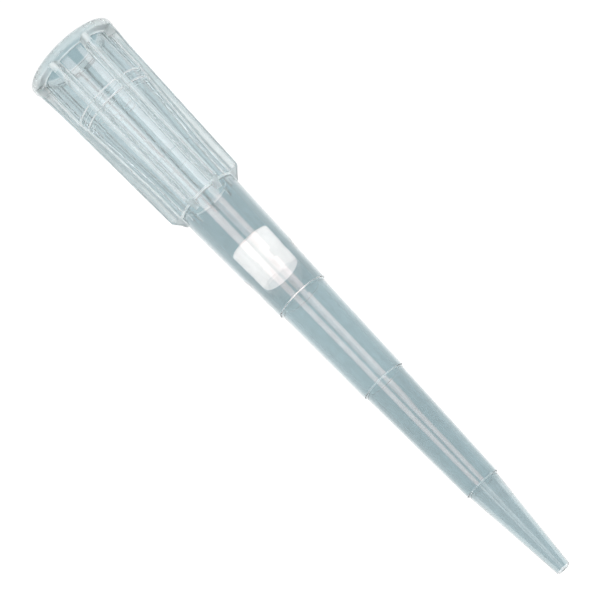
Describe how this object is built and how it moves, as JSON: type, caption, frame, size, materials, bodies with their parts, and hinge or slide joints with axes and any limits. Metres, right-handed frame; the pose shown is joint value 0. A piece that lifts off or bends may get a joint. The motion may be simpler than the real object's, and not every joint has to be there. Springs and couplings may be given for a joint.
{
  "type": "filtered pipette tip",
  "caption": "Clear disposable pipette tip with a ribbed collar, stepped tapering barrel, fine nose and a white porous filter plug pressed inside.",
  "frame": {"origin": "centre of the collar's rim face, on the tip axis", "axes": "+Z runs along the tip axis from the open collar mouth, which stands on the surface, to the fine orifice; one collar rib lies on +X"},
  "size_m": [0.0072, 0.0072, 0.05],
  "materials": {
    "clear_polypropylene": "clear moulded polypropylene, glossy, slightly blue-grey",
    "porous_filter": "white sintered porous polyethylene, matt"
  },
  "bodies": {
    "root": {"tip_body": "clear_polypropylene", "filter_plug": "porous_filter"}
  },
  "joints": []
}
